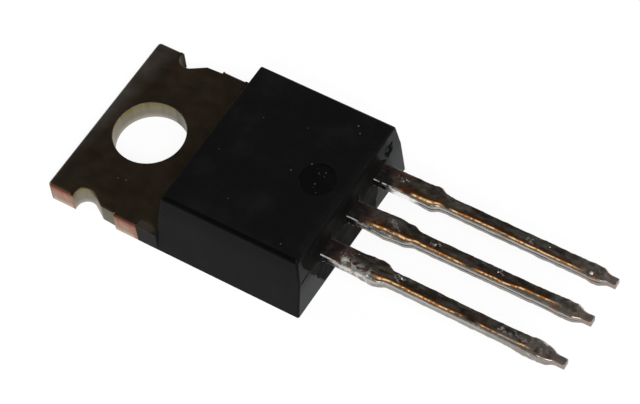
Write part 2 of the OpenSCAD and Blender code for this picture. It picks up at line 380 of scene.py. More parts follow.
def tinted(mask, under, over):
    """One colour laid over another where the mask is 1."""
    return put(mask.tree, "ShaderNodeMix", {0: mask, 6: under, 7: over}, output=2, data_type="RGBA")


def parts(vector):
    """The x, y and z of a vector."""
    split = add_node(vector.tree, "ShaderNodeSeparateXYZ", [vector])
    return [Field(vector.tree, socket) for socket in split.outputs]


def vector_calc(operation, first, second, output=0):
    """The result of one step of arithmetic on two vectors, or on a vector and a number to scale it by."""
    tree = next(value.tree for value in (first, second) if isinstance(value, Field))
    inputs = {0: first, "Scale" if operation == "SCALE" else 1: second}
    return put(tree, "ShaderNodeVectorMath", inputs, output, operation=operation)


def millimetres(tree):
    """The place on the part, in millimetres."""
    return vector_calc("SCALE", put(tree, "ShaderNodeTexCoord", output="Object"), 1 / MM)


def stretched(vector, factors):
    """A vector with each part multiplied by its own factor."""
    return vector_calc("MULTIPLY", vector, factors)


def away_from(vector, point):
    """How far a place lies from a point."""
    return vector_calc("DISTANCE", vector, point, "Value")


def new_group(name, kind, inputs, result, result_kind):
    """A node group and what it is given, by name. An input is a number, or the kind of its socket."""
    group = bpy.data.node_groups.new(name, kind)
    group.interface.new_socket(result, in_out="OUTPUT", socket_type=result_kind)
    for title, value in inputs.items():
        if isinstance(value, str):
            group.interface.new_socket(title, in_out="INPUT", socket_type=value)
        else:
            socket = group.interface.new_socket(title, in_out="INPUT", socket_type="NodeSocketFloat")
            socket.default_value = value
    given = add_node(group, "NodeGroupInput").outputs
    return group, {socket.name: Field(group, socket) for socket in given}


# Soft patches of soil or tarnish: how much of it lies at a place.
mottle, given = new_group("mottle", "ShaderNodeTree", {
    "Vector": "NodeSocketVector", "Scale": 1.0, "Start": 0.4, "End": 0.6}, "Amount", "NodeSocketFloat")
cloud = put(mottle, "ShaderNodeTexNoise", {
    "Vector": given["Vector"], "Scale": given["Scale"], "Detail": 4.0, "Roughness": 0.58})
add_node(mottle, "NodeGroupOutput", [eased(cloud, given["Start"], given["End"])])

# Fine specks of dust or spatter: a few of the cells of a random pattern hold one.
speckle, given = new_group("speckle", "ShaderNodeTree", {
    "Vector": "NodeSocketVector", "Scale": 3.0, "Size": 0.1, "Share": 0.1}, "Mask", "NodeSocketFloat")
cells = add_node(speckle, "ShaderNodeTexVoronoi", {
    "Vector": given["Vector"], "Scale": given["Scale"]}).outputs
dot = eased(Field(speckle, cells["Distance"]), given["Size"], given["Size"] * 0.5)
chosen = put(speckle, "ShaderNodeSeparateColor", [Field(speckle, cells["Color"])]) < given["Share"]
add_node(speckle, "NodeGroupOutput", [dot * chosen])


def mottled(vector, scale, start, end):
    """How much soft soil lies at a place: none where its noise is at start, all where it is at end."""
    return put(vector.tree, "ShaderNodeGroup", {
        "Vector": vector, "Scale": scale, "Start": start, "End": end}, node_tree=mottle)


def speckled(vector, scale, size, share):
    """A mask of fine specks of this size, in a share of the cells."""
    return put(vector.tree, "ShaderNodeGroup", {
        "Vector": vector, "Scale": scale, "Size": size, "Share": share}, node_tree=speckle)


def clouds(vector, scale, detail):
    """Soft noise."""
    return put(vector.tree, "ShaderNodeTexNoise", {"Vector": vector, "Scale": scale, "Detail": detail})


def dotted(places, spots, height):
    """A mask of round spots at (x, y, radius), in millimetres, on the plane of this height."""
    mask = 0.0
    for x, y, radius in spots:
        gap = away_from(places, (x, y, height / MM))
        mask = highest(mask, eased(gap, radius * 1.3, radius * 0.6))
    return mask


def stroked(places, strokes):
    """A mask of short straight marks, each from one point to another with a half width, in millimetres."""
    mask = 0.0
    for start, end, half_width in strokes:
        run = Vector(end) - Vector(start)
        offset = vector_calc("SUBTRACT", places, start)
        share = vector_calc("DOT_PRODUCT", offset, run / run.length_squared, "Value")
        nearest = vector_calc("SCALE", run, lowest(highest(share, 0.0), 1.0))
        mask = highest(mask, eased(away_from(offset, nearest), half_width * 1.4, half_width * 0.6))
    return mask


def coat(tree, looks, relief=None, strength=0.2, depth=0.02 * MM):
    """Finish a material with a shader of these looks, over a fine relief if it has one."""
    if relief:
        bumps = {"Strength": strength, "Distance": depth, "Height": relief}
        looks = {**looks, "Normal": put(tree, "ShaderNodeBump", bumps)}
    add_node(tree, "ShaderNodeOutputMaterial", {"Surface": put(tree, "ShaderNodeBsdfPrincipled", looks)})


material, tree = empty_material("moulding_resin")
places = millimetres(tree)
x, y, z = parts(places)
facing = parts(put(tree, "ShaderNodeTexCoord", output="Normal"))

# Satin black with worn patches. Painted shade darkens the sides, more towards the top.
colour = tinted(mottled(places, 0.55, 0.42, 0.75), resin_black, resin_worn)
painted_side_shade = eased(facing[2], 0.5, 0.2) * eased(z, 2.6, 3.9, 0.3, 0.8)
colour = tinted(painted_side_shade, colour, resin_painted_shade)

# The lead-side end is paler at its corners and scarred where a tool slipped.
at_end = eased(y, -12.0, -12.1) * eased(facing[1], -0.85, -0.97)
slanted = z * 0.5 + x
low_near = eased(slanted, -2.6, -2.8) * eased(z, 3.0, 1.7)
low_far = eased(lowest(z, 2.2) * 0.4 + x, 4.45, 4.8)
high_near = eased(x, -4.3, -4.42) * band(z, 2.75, 2.85, 3.7, 4.0) * 0.3
corners = highest(low_near, high_near, low_far)
pale_corners = at_end * corners * (mottled(places, 1.3, 0.3, 0.6) * 0.5 + 0.5)
colour = tinted(pale_corners, colour, resin_pale)
scarred = stroked(places, scars) * mottled(places, 2.6, 0.36, 0.5)
colour = tinted(scarred, colour, resin_scar)

# The ears' tops are brown with flux, most of all on the near one, and the step behind is
# painted pale: chalky flash with a painted highlight.
on_ear = eased(y, -3.78, -3.72) * eased(z, 1.2, 1.24)
colour = tinted(on_ear, colour, smear_brown)
smear_squash = (2.2, 1.1, 1.0)
smear_centre = (-10.9, -3.3, 1.28)
flash = on_ear * eased(away_from(stretched(places, smear_squash), smear_centre), 0.8, 0.45)
colour = tinted(flash, colour, flash_brown)
ear_step_highlight = eased(y, -3.9, -3.8) * eased(facing[1], -0.8, -0.95)
colour = tinted(ear_step_highlight, colour, resin_pale)

# The top's rounded edges, other than the lead-side one, get painted shade. The ejector mark is
# darker, flux dulls the lead-side end, and dust lies on the top.
shaded_roundings = eased(z, 4.06, 4.13) * eased(facing[2], 0.985, 0.93) * eased(facing[1], -0.5, -0.25)
colour = tinted(shaded_roundings, colour, resin_painted_shade)
ejector_floor = Vector((0, ejector_place - housing_end, housing_top - ejector_depth))
sunk = eased(away_from(places, ejector_floor / MM), 0.96, 0.88)
colour = tinted(sunk * 0.5, colour, resin_scar)
smeared = eased(y, -11.7, -11.95) * band(x, -4.2, -3.7, 2.5, 3.0) * eased(z, 2.0, 2.6)
on_top = eased(z, 4.2, 4.25)
dust = on_top * speckled(places, 2.4, 0.04, 0.14)
specks = highest(dust * 0.3, dotted(places, top_specks, housing_top))
colour = tinted(specks, colour, speck_pale)
matt = highest(smeared * 0.35, scarred * 0.6, shaded_roundings * eased(facing[1], 0.2, 0.4, 0.0, 0.4))
gloss = mottled(places, 1.3, 0.3, 0.7) * 0.07 + 0.29 + matt
relief = mottled(places, 3.0, 0.3, 0.7) * 0.6 + clouds(places, 16.0, 3.0)
coat(tree, {"Base Color": colour, "Roughness": gloss, "IOR": 1.5, "Specular IOR Level": 0.032},
     relief, strength=0.16)
for piece in [housing, *ears]:
    piece.data.materials.append(material)
    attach(piece, "root")
    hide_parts("moulded_housing")


# Heat-sink tab
# Punched from tinned copper strip with the die pad and the drain lead. The punch rolls the upper
# edges over, the notches and the hole are plated, and the sides cut last show bare copper.
tab_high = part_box("heat_sink_tab")[1]
tab_half = tab_high.x
tab_end = tab_high.y
tab_corner = 0.2 * MM
shoulder_place = 2.63 * MM
pad_end = 9.7 * MM
pad_corner = 0.4 * MM
coin_step = 0.45 * MM
coin_height = 0.55 * MM
notch_place = 0.72 * MM
notch_radius = 0.58 * MM
notch_depth = 0.76 * MM
flank_start_angle = 210
flank_points = [(0.19 * MM, -0.33 * MM), (0.14 * MM, -1.22 * MM)]
hole_radius = 1.92 * MM
hole_turns = 128
side_roll = 0.16 * MM
notch_roll = 0.06 * MM
hole_roll = 0.05 * MM
burr_roll = 0.03 * MM
roll_steps = 5
TINNED, PLATED, SHEARED = 0, 1, 2


def spread(start, end, pitch):
    """Points from start up to but not including end, about a pitch apart."""
    gap = (Vector(end) - Vector(start)).length
    count = max(1, round(gap / pitch))
    return [Vector(start).lerp(Vector(end), i / count) for i in range(count)]


def around(centre, radius, start, end, steps):
    """Points of an arc, in degrees, up to but not including its end."""
    angles = [math.radians(start + (end - start) * i / steps) for i in range(steps)]
    return [Vector((centre[0] + radius * math.cos(a), centre[1] + radius * math.sin(a))) for a in angles]


# One half of the outline, from the pad's middle up the right side: points, kind of wall, roll, on the pad.
bite_centre = (tab_half - notch_depth + notch_radius, notch_place)
bite_end_angle = math.degrees(math.acos((tab_half - bite_centre[0]) / notch_radius))
bite_end_y = notch_place + notch_radius * math.sin(math.radians(bite_end_angle))
flank_start = around(bite_centre, notch_radius, flank_start_angle, 0, 1)[0]
flank_ease, flank_end = [(tab_half - depth, y) for depth, y in flank_points]
stretches = [
    (spread((0, -pad_end), (pad_half - pad_corner, -pad_end), 0.6 * MM), TINNED, burr_roll, True),
    (around((pad_half - pad_corner, -pad_end + pad_corner), pad_corner, -90, 0, 8),
     TINNED, burr_roll, True),
    (spread((pad_half, -pad_end + pad_corner), (pad_half, -shoulder_place - coin_step), 0.5 * MM),
     TINNED, burr_roll, True),
    (spread((pad_half, -shoulder_place - coin_step), (pad_half, -shoulder_place), 0.2 * MM),
     TINNED, burr_roll, False),
    (spread((pad_half, -shoulder_place), (tab_half, -shoulder_place), 0.1 * MM), TINNED, burr_roll, False),
    (spread((tab_half, -shoulder_place), (tab_half, flank_end[1]), 0.07 * MM), SHEARED, side_roll, False),
    (spread((tab_half, flank_end[1]), flank_end, 0.04 * MM), PLATED, notch_roll, False),
    (spread(flank_end, flank_ease, 0.07 * MM), PLATED, notch_roll * 1.3, False),
    (spread(flank_ease, flank_start, 0.07 * MM), PLATED, notch_roll, False),
    (around(bite_centre, notch_radius, flank_start_angle, bite_end_angle, 26), PLATED, notch_roll, False),
    (spread((tab_half, bite_end_y), (tab_half, tab_end - tab_corner), 0.07 * MM),
     SHEARED, side_roll, False),
    (around((tab_half - tab_corner, tab_end - tab_corner), tab_corner, 0, 90, 10),
     TINNED, side_roll, False),
    (spread((tab_half - tab_corner, tab_end), (0, tab_end), 0.1 * MM), TINNED, side_roll, False),
]
right = [(p, kind, roll, on_pad) for points, kind, roll, on_pad in stretches for p in points]
left = [(Vector((-p.x, p.y)), right[i - 1][1], roll, on_pad)
        for i, (p, kind, roll, on_pad) in enumerate(right) if i > 0]
outline = right + [(Vector((0, tab_end)), TINNED, side_roll, False)] + left[::-1]
count = len(outline)
places = [p for p, kind, roll, on_pad in outline]
rolls = [roll for p, kind, roll, on_pad in outline]
for _ in range(2):
    rolls = [(rolls[i - 1] + 2 * rolls[i] + rolls[(i + 1) % count]) / 4 for i in range(count)]


def inward(ring, i):
    """The unit step into the material at one point of a ring that runs anticlockwise."""
    before = (ring[i] - ring[i - 1]).normalized()
    after = (ring[(i + 1) % len(ring)] - ring[i]).normalized()
    across = Vector((-before.y, before.x)) + Vector((-after.y, after.x))
    length = across.length
    return across.normalized() * min(2 / max(length, 0.5), 1.3)


def roll_levels(roll, top, bottom):
    """Pairs of distance in and height down a rolled upper edge, a wall and a slightly broken lower edge."""
    levels = [(roll + 0.03 * MM, top)]
    for step in range(roll_steps + 1):
        angle = math.pi / 2 * step / roll_steps
        levels.append((roll * (1 - math.sin(angle)), top - roll * (1 - math.cos(angle))))
    levels += [(0, top - (top - bottom) * share) for share in (0.45, 0.75)]
    return levels + [(0, bottom + burr_roll), (burr_roll, bottom), (burr_roll + 0.03 * MM, bottom)]


shape = bmesh.new()
steps_in = [inward(places, i) for i in range(count)]
columns = []
for i, (place, kind, roll, on_pad) in enumerate(outline):
    column = []
    for distance, z in roll_levels(rolls[i], tab_thickness, coin_height if on_pad else 0):
        column.append((place + steps_in[i] * distance, z))
    columns.append(column)
pad_rings = []
for i, (place, kind, roll, on_pad) in enumerate(outline):
    inset = coin_step if on_pad else burr_roll + 0.03 * MM
    pad_rings.append((place + steps_in[i] * inset, coin_height if on_pad else 0))
lower_ring = [(place, 0) for place, z in pad_rings]
for i in range(count):
    columns[i] += [pad_rings[i], lower_ring[i]]
grid = [[shape.verts.new((p.x, p.y, z)) for p, z in column] for column in columns]
for i in range(count):
    following = (i + 1) % count
    kind = outline[i][1]
    for j in range(len(grid[i]) - 1):
        face = shape.faces.new((grid[i][j], grid[i][j + 1], grid[following][j + 1], grid[following][j]))
        face.material_index = kind if roll_steps < j < len(grid[i]) - 4 else TINNED
hole = []
for turn in range(hole_turns):
    angle = 2 * math.pi * turn / hole_turns
    direction = Vector((math.cos(angle), math.sin(angle)))
    hole.append([shape.verts.new((*(direction * (hole_radius + distance)), z))
                 for distance, z in roll_levels(hole_roll, tab_thickness, 0)])
for i in range(hole_turns):
    following = (i + 1) % hole_turns
    for j in range(len(hole[i]) - 1):
        face = shape.faces.new((hole[i][j + 1], hole[i][j], hole[following][j], hole[following][j + 1]))
        face.material_index = PLATED if 3 < j < len(hole[i]) - 3 else TINNED
bmesh.ops.remove_doubles(shape, verts=shape.verts, dist=tolerance)
bmesh.ops.dissolve_degenerate(shape, edges=shape.edges, dist=tolerance / 10)
open_edges = [e for e in shape.edges if e.is_boundary]
for z, up in ((tab_thickness, 1), (0, -1)):
    level_edges = [e for e in open_edges if all(abs(v.co.z - z) < tolerance for v in e.verts)]
    bmesh.ops.triangle_fill(shape, use_beauty=True, use_dissolve=False, edges=level_edges,
                            normal=(0, 0, up))


def plate(shape, outline, low, high):
    """Add a flat piece of strip with this outline between two heights."""
    lower = [shape.verts.new((x, y, low)) for x, y in outline]
    upper = [shape.verts.new((x, y, high)) for x, y in outline]
    shape.faces.new(lower[::-1])
    shape.faces.new(upper)
    joined(shape, lower, upper)


neck_half = 0.85 * MM
neck_profile = [(-11.7, 3.22), (-11.1, 3.22), (-10.95, 3.15), (-10.2, 1.36), (-9.9, 1.28), (-9.3, 1.28),
                (-9.3, 0.78), (-10.15, 0.78), (-10.45, 0.95), (-11.15, 2.68), (-11.3, 2.72), (-11.7, 2.72)]
low_side = [shape.verts.new((-neck_half, y * MM, z * MM)) for y, z in neck_profile]
high_side = [shape.verts.new((neck_half, y * MM, z * MM)) for y, z in neck_profile]
shape.faces.new(low_side)
shape.faces.new(high_side[::-1])
joined(shape, high_side, low_side)
tab = finished(shape, "heat_sink_plate", sharp_angle=40)

tin_brown = (0.031, 0.021, 0.0105, 1)
tin_olive = (0.043, 0.032, 0.019, 1)
tin_grey_and_highlight = (0.17, 0.15, 0.13, 1)
tin_ruddy = (0.046, 0.021, 0.013, 1)
roll_red = (0.17, 0.055, 0.03, 1)
tin_fleck = (0.3, 0.27, 0.23, 1)
tin_flecks = [
    (-3.15, -0.17, 0.045), (-3.06, -0.6, 0.05), (2.87, -2.79, 0.035), (-0.28, -2.81, 0.03),
    (0.44, -1.91, 0.025), (3.9, 1.6, 0.03), (-1.2, -3.3, 0.025)]
material, tree = empty_material("tinned_copper_tab")
places = millimetres(tree)
x, y, z = parts(places)

# Dull brown tin with ruddy patches and faint drawing marks, with a painted grey highlight towards
# the outer end.
drawn = mottled(stretched(places, (1.6, 0.6, 1.6)), 1.2, 0.3, 0.8)
colour = tinted(mottled(places, 0.4, 0.35, 0.75), tin_brown, tin_olive)
colour = tinted(mottled(places, 0.5, 0.5, 0.75) * 0.5, colour, tin_ruddy)
colour = tinted(drawn * 0.06, colour, tin_grey_and_highlight)
cloudy = mottled(places, 0.6, 0.25, 0.65) * 0.7 + 0.3
outward = x * 0.12 + y
colour = tinted(eased(outward, 1.75, 3.1) * cloudy * 0.6, colour, tin_grey_and_highlight)
dust = speckled(places, 2.6, 0.05, 0.12)
flecks = highest(dust * 0.16, dotted(places, tin_flecks, tab_thickness) * 0.4)
colour = tinted(flecks, colour, tin_fleck)

# Bare copper shows on the edges that the punch rolled over, beside the sheared sides.
facing = parts(put(tree, "ShaderNodeTexCoord", output="Normal"))
cut_outer = eased(y, 1.38, 1.46)
cut_inner = band(y, -2.6, -2.5, -1.22, -1.14)
rolled = eased(abs(facing[0]), 0.3, 0.6) * eased(abs(x), 4.8, 4.9) * highest(cut_outer, cut_inner)
colour = tinted(rolled, colour, roll_red)
gloss = mottled(places, 1.1, 0.3, 0.7) * 0.12 + 0.32
relief = drawn * 0.3 + clouds(places, 6.0, 4.0)
coat(tree, {"Base Color": colour, "Metallic": 0.85, "Roughness": gloss}, relief)
tab.data.materials.append(material)

plate_olive = (0.16, 0.132, 0.036, 1)
plate_beige = (0.175, 0.153, 0.11, 1)
plate_pale = (0.32, 0.3, 0.26, 1)
plate_dull = (0.1, 0.088, 0.058, 1)
plate_shaded = (0.024, 0.02, 0.014, 1)
material, tree = empty_material("plated_wall")
places = millimetres(tree)
x, y, z = parts(places)
upright = stretched(places, (5.0, 5.0, 0.5))

# The walls of the notches and the hole: olive plating above, beige and pale below, with upright
# score marks. They are duller towards the leads, and the far notch lies in the shade.
colour = tinted(eased(z, 0.75, 1.2), plate_beige, plate_olive)
colour = tinted(eased(z, 0.5, 0.0), colour, plate_pale)
scored = mottled(upright, 1.0, 0.3, 0.75)
colour = tinted(scored * 0.25, colour, plate_pale)
colour = tinted(eased(y, -0.2, -0.45, 0.0, 0.9), colour, plate_dull)
in_shade = eased(x, 3.0, 3.2)
colour = tinted(in_shade, colour, plate_shaded)
coat(tree, {"Base Color": colour, "Metallic": 0.75 - in_shade * 0.75, "Roughness": 0.38,
            "Specular IOR Level": 0.03}, scored, strength=0.3)
tab.data.materials.append(material)

copper_red = (0.21, 0.052, 0.026, 1)
copper_pink = (0.28, 0.135, 0.083, 1)
copper_pale = (0.4, 0.32, 0.24, 1)
material, tree = empty_material("sheared_copper")
places = millimetres(tree)
x, y, z = parts(places)
upright = stretched(places, (4.0, 4.0, 0.6))
scored = mottled(upright, 1.2, 0.3, 0.7)

# The sheared sides: red above where the punch cut, torn pink below and pale at the foot.
ragged = mottled(places, 2.2, 0.2, 0.8) * 0.2 + z
colour = tinted(eased(ragged, 0.86, 1.1), copper_pink, copper_red)
colour = tinted(eased(ragged, 0.55, 0.2), colour, copper_pale)
ends = highest(band(y, 0.0, 0.3, 1.34, 1.48), eased(y, -2.25, -2.5))
colour = tinted(ends * 0.8, colour, copper_red)
colour = tinted(scored * 0.3, colour, copper_pale)
coat(tree, {"Base Color": colour, "Metallic": 0.7, "Roughness": 0.42}, scored, strength=0.35,
     depth=0.03 * MM)
tab.data.materials.append(material)
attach(tab, "root")
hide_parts("heat_sink_tab")


# Leads
# Three flat pins of the same strip, dipped in solder and later desoldered: the solder rounds their
# corners, lies in lumps on the wide part and at the shoulder, and the tips are nipped to a stub.
lead_pitch = 2.54 * MM
lead_reach = 13.45 * MM
lead_inside = 0.55 * MM
lead_height = 2.97 * MM
lead_half_thick = 0.25 * MM
wide_half = 0.59 * MM
pin_sizes = {
    "Place Across": 0.0,
    "Housing End": housing_end,
    "Inside Length": lead_inside,
    "Length": lead_reach,
    "Height": lead_height,
    "Half Thickness": lead_half_thick,
    "Wide Half Width": wide_half,
    "Wide Length": 3.25 * MM,
    "Shoulder Length": 0.6 * MM,
    "Slim Half Width": 0.4 * MM,
    "Stub Half Width": 0.23 * MM,
    "Stub Half Thickness": 0.2 * MM,
    "Stub Length": 1.1 * MM,
    "Stub Taper": 0.55 * MM,
    "Corner Squareness": 8.0,
    "Droop": 0.0,
    "Lean": 0.0,
    "Solder Thickness": 0.03 * MM,
    "Solder Grain": 1700.0,
    "Shoulder Lump": 0.05 * MM,
    "Shoulder Lump Place": 3.2 * MM,
    "Shoulder Lump Length": 0.9 * MM,
    "Tip Lump": 0.03 * MM,
    "Tip Lump Place": 11.4 * MM,
    "Tip Lump Length": 1.2 * MM,
    "Seed": 0.0,
}
pin_rows = 260
pin_columns = 64


def combine(x, y, z):
    """A vector from a field and two more fields or numbers."""
    return put(x.tree, "ShaderNodeCombineXYZ", [x, y, z])


def close_tree(geometry, material):
    """End a geometry tree with everything in it made real and given a material."""
    real = put(geometry.tree, "GeometryNodeRealizeInstances", {"Geometry": geometry})
    coated = put(geometry.tree, "GeometryNodeSetMaterial", {"Geometry": real, "Material": material})
    add_node(geometry.tree, "NodeGroupOutput", [coated])


pin_tree, given = new_group("dipped_pin", "GeometryNodeTree", {
    "Geometry": "NodeSocketGeometry", **pin_sizes, "Material": "NodeSocketMaterial"},
    "Geometry", "NodeSocketGeometry")
sheet = put(pin_tree, "GeometryNodeMeshGrid", {
    "Size X": 1.0, "Size Y": 1.0, "Vertices X": pin_columns + 1, "Vertices Y": pin_rows})
turn, down = [part + 0.5 for part in parts(put(pin_tree, "GeometryNodeInputPosition"))[:2]]
row = 1 / (pin_rows - 1)
share = put(pin_tree, "ShaderNodeMapRange", [down, row, 1 - row, 0.0, 1.0], clamp=True)
closed = (down > row / 2) * (down < 1 - row / 2)
whole = given["Inside Length"] + given["Length"]
along = share * whole - given["Inside Length"]
shoulder_end = given["Wide Length"] + given["Shoulder Length"]
half_width = eased(along, given["Wide Length"], shoulder_end, given["Wide Half Width"],
                   given["Slim Half Width"])
stub_start = given["Length"] - given["Stub Length"]
stub_full = stub_start + given["Stub Taper"]
half_width = eased(along, stub_start, stub_full, half_width, given["Stub Half Width"])
half_thickness = eased(along, stub_start, stub_full, given["Half Thickness"],
                       given["Stub Half Thickness"])

# Round the section: a point runs evenly along a square, eased towards its corners, and the square
# is then drawn in to a soft-cornered rectangle.
quarter = turn * 4.0 + 3.0
sides = []
for shift in (0.0, 1.0):
    wave = calc("PINGPONG", quarter - shift, 2.0)
    side = lowest(highest(2.0 - wave * 2.0, -1.0), 1.0)
    sides.append(calc("SINE", side * (math.pi / 2)))
powers = [abs(side) ** given["Corner Squareness"] for side in sides]
drawn_in = (powers[0] + powers[1]) ** (-1.0 / given["Corner Squareness"])
across, up = [side * drawn_in for side in sides]
bent = share * share * given["Droop"]
x = across * half_width * closed + (given["Lean"] * share + given["Place Across"])
z = up * half_thickness * closed + given["Height"] - bent
y = (given["Housing End"] + along) * -1.0
marked = sheet
for name, field in (("across", across), ("up", up), ("along", along)):
    marked = put(pin_tree, "GeometryNodeStoreNamedAttribute", {
        "Geometry": marked, "Name": name, "Value": field}, data_type="FLOAT", domain="POINT")
shaped = put(pin_tree, "GeometryNodeSetPosition", {"Geometry": marked, "Position": combine(x, y, z)})

# The solder lies thicker in places. It fades out before the cut end, which stays where it is.
along = put(pin_tree, "GeometryNodeInputNamedAttribute", {"Name": "along"}, data_type="FLOAT")
fade = eased(along, stub_start, stub_full, 1.0, 0.25)
at_tip = along < given["Length"] - 0.05 * MM
ripples = put(pin_tree, "ShaderNodeTexNoise", {
    "Vector": put(pin_tree, "GeometryNodeInputPosition"), "W": given["Seed"],
    "Scale": given["Solder Grain"], "Detail": 3.0, "Roughness": 0.55}, noise_dimensions="4D")
thickness = highest(ripples - 0.42, 0.0) * given["Solder Thickness"] * 4.0
for lump in ("Shoulder Lump", "Tip Lump"):
    away = abs(along - given[f"{lump} Place"])
    swell = eased(away, 0.0, given[f"{lump} Length"], given[lump], 0.0)
    thickness = thickness + swell * (ripples * 1.6 + 0.2)
amount = thickness * fade * at_tip
offset = vector_calc("SCALE", put(pin_tree, "GeometryNodeInputNormal"), amount)
dipped = put(pin_tree, "GeometryNodeSetPosition", {"Geometry": shaped, "Offset": offset})
welded = put(pin_tree, "GeometryNodeMergeByDistance", {"Geometry": dipped, "Distance": 10 * tolerance})
smooth = put(pin_tree, "GeometryNodeSetShadeSmooth", {"Geometry": welded, "Shade Smooth": True})
close_tree(smooth, given["Material"])


def grown(name, node_tree, values, spots=((0, 0, 0, 0),)):
    """The plain mesh object that a geometry tree makes from spots of a size, in millimetres."""
    made = mesh_object(name, [Vector(spot[:3]) * MM for spot in spots], [])
    sizes = made.data.attributes.new("size", "FLOAT", "POINT")
    sizes.data.foreach_set("value", [spot[3] * MM for spot in spots])
    modifier = made.modifiers.new("tree", "NODES")
    modifier.node_group = node_tree
    for item in node_tree.interface.items_tree:
        if item.item_type == "SOCKET" and item.in_out == "INPUT" and item.name in values:
            modifier[item.identifier] = values[item.name]
    made.data = bpy.data.meshes.new_from_object(made.evaluated_get(bpy.context.evaluated_depsgraph_get()))
    made.modifiers.remove(modifier)
    return made


tarnish_dark = (0.035, 0.028, 0.021, 1)
tarnish_brown = (0.14, 0.119, 0.094, 1)
tarnish_red = (0.075, 0.036, 0.024, 1)
tin_bright_and_glint = (0.6, 0.58, 0.55, 1)
side_bright = (0.4, 0.375, 0.345, 1)
side_grey = (0.27, 0.255, 0.24, 1)
side_bare = (0.93, 0.92, 0.9, 1)
tin_dull = (0.24, 0.22, 0.195, 1)
rim_grey = (0.33, 0.3, 0.265, 1)
edge_dark = (0.05, 0.044, 0.04, 1)
rosin_gold_highlight = (0.9, 0.66, 0.34, 1)
rosin_amber = (0.4, 0.15, 0.035, 1)
rosin_brown = (0.14, 0.045, 0.014, 1)
rosin_dark = (0.04, 0.014, 0.01, 1)
root_black = (0.007, 0.0055, 0.005, 1)
root_grey = (0.018, 0.015, 0.013, 1)
nipped_grey = (0.27, 0.22, 0.195, 1)
solder_smudge_highlights = [
    (2.6, -14.55, 0.09), (2.5, -14.7, 0.08), (2.35, -17.05, 0.07), (2.62, -9.6, 0.12), (2.7, -9.75, 0.1),
    (0.05, -11.85, 0.12), (0.22, -12.0, 0.09), (0.2, -10.3, 0.12), (-0.05, -10.5, 0.12),
    (0.3, -14.4, 0.08), (-2.35, -11.65, 0.11), (-2.5, -11.5, 0.08), (-2.5, -9.4, 0.13),
    (-2.35, -9.65, 0.1), (-2.5, -15.6, 0.13), (-2.55, -15.9, 0.12), (-2.45, -16.2, 0.12),
    (-2.6, -16.5, 0.14), (2.3, -16.9, 0.1)]
material, tree = empty_material("tinned_lead")
places = millimetres(tree)
x = parts(places)[0]
across, up, along = [put(tree, "ShaderNodeAttribute", output="Fac", attribute_name=name)
                     for name in ("across", "up", "along")]
run = along * (1 / MM)
slow = stretched(places, (1.0, 0.5, 1.0))
quick = stretched(places, (0.6, 1.0, 0.6))
on_gate = eased(x, -1.3, -1.5)
on_source = eased(x, 1.3, 1.5)

# The top: smooth brown tarnish with a few reddish stains and tiny painted glints.
blotch = mottled(stretched(places, (1.3, 0.4, 1.0)), 1.7, 0.42, 0.62)
fine = mottled(slow, 5.0, 0.4, 0.7)
top_colour = tinted(blotch, tarnish_dark, tarnish_brown)
stained = mottled(places, 1.3, 0.5, 0.62)
top_colour = tinted(stained * 0.6, top_colour, tarnish_red)
mid_scale = mottled(slow, 2.4, 0.45, 0.7)
top_colour = tinted(mid_scale * 0.38, top_colour, tin_dull)
top_colour = tinted(fine * 0.12, top_colour, tin_dull)
glints = speckled(places, 3.2, 0.12, 0.09)
top_colour = tinted(glints * 0.4, top_colour, tin_bright_and_glint)
# Pale smudges of solder, painted bright as highlights.
wavy = clouds(places, 4.0, 3.0)
shift = combine(wavy * 0.7 - 0.35, wavy * 0.9 - 0.45, 0.0)
warped = vector_calc("ADD", stretched(places, (1.0, 0.7, 1.0)), shift)
smudge_highlights = dotted(warped, solder_smudge_highlights, lead_height + lead_half_thick) * mottled(places, 6.0, 0.4, 0.54)
top_colour = tinted(smudge_highlights * 0.7, top_colour, tin_bright_and_glint)
at_root = eased(blotch * -0.5 + run, 1.0, 0.5)
reddened = eased(stained * -0.7 + run, 1.5, 0.8)
top_colour = tinted(reddened * 0.75, top_colour, rosin_dark)
top_colour = tinted(at_root * 0.95, top_colour, tinted(fine, root_black, root_grey))

# The sides: bright tin above, a thin dark line, duller tin and a dark lower edge. The source pin
# is rubbed bare near its root.
side_colour = tinted(eased(up, 0.0, 0.5), side_grey, side_bright)
side_colour = tinted(mottled(slow, 1.6, 0.45, 0.75), side_colour, tin_dull)
wander = mottled(slow, 0.8, 0.2, 0.8) * 0.35 + up
line = band(wander, 0.1, 0.18, 0.48, 0.58) * (1.0 - on_gate * 0.8)
side_colour = tinted(line * 0.95, side_colour, edge_dark)
side_colour = tinted(eased(up, -0.66, -0.85) * 0.85, side_colour, edge_dark)
bared = on_source * eased(run, 0.85, 1.1) * eased(fine * 0.4 + run, 2.9, 2.3)
side_colour = tinted(bared, side_colour, side_bare)
side_colour = tinted(at_root, side_colour, root_black)
# Painted glints in dashes along the lower edge near the root.
lower_edge_glints = band(up, -0.92, -0.86, -0.7, -0.62) * mottled(quick, 4.5, 0.48, 0.56)
side_colour = tinted(lower_edge_glints * at_root, side_colour, tin_bright_and_glint)
on_top = eased(up, 0.78, 0.9)
# Painted shade darkens the far upper edge of the top.
far_edge_shade = eased(across, 0.7, 0.88) * eased(up, 0.2, 0.6)
top_colour = tinted(far_edge_shade * 0.75, top_colour, edge_dark)
colour = tinted(highest(on_top, far_edge_shade), side_colour, top_colour)
